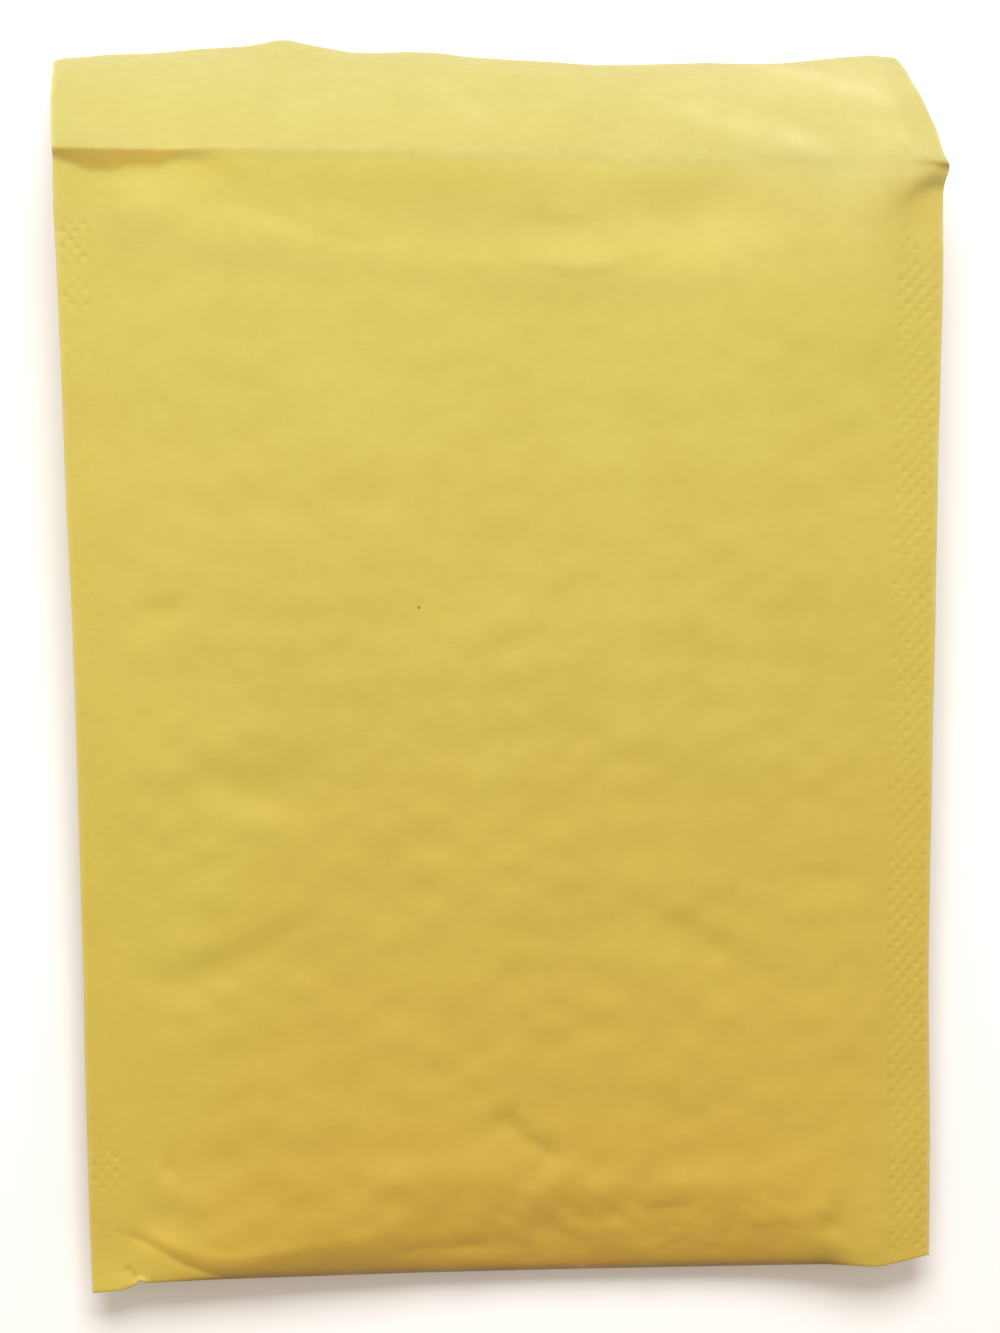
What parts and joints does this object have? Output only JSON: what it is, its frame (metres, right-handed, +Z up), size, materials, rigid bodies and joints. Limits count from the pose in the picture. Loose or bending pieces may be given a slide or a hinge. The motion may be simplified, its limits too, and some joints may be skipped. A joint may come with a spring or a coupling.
{
  "type": "padded envelope",
  "caption": "Padded mailing envelope lying plain side up: kraft paper sleeve with heat-sealed sides, bubble-film lining, and an open self-seal flap bent down to the table.",
  "frame": {"origin": "middle of the bounding box, on the surface the envelope lies on", "axes": "+X across the width, +Y from the bottom fold towards the flap, +Z up, out of the plain side"},
  "size_m": [0.17, 0.2454, 0.033],
  "materials": {
    "kraft_paper": "smooth golden kraft paper, slightly sheened",
    "bubble_film": "clear bubble film",
    "adhesive": "tacky hot-melt",
    "release_paper": "silicone-coated, satin"
  },
  "bodies": {
    "root": {"kraft_sleeve": "kraft_paper", "bubble_lining": "bubble_film", "adhesive_strip": "adhesive", "release_strip": "release_paper"}
  },
  "joints": []
}
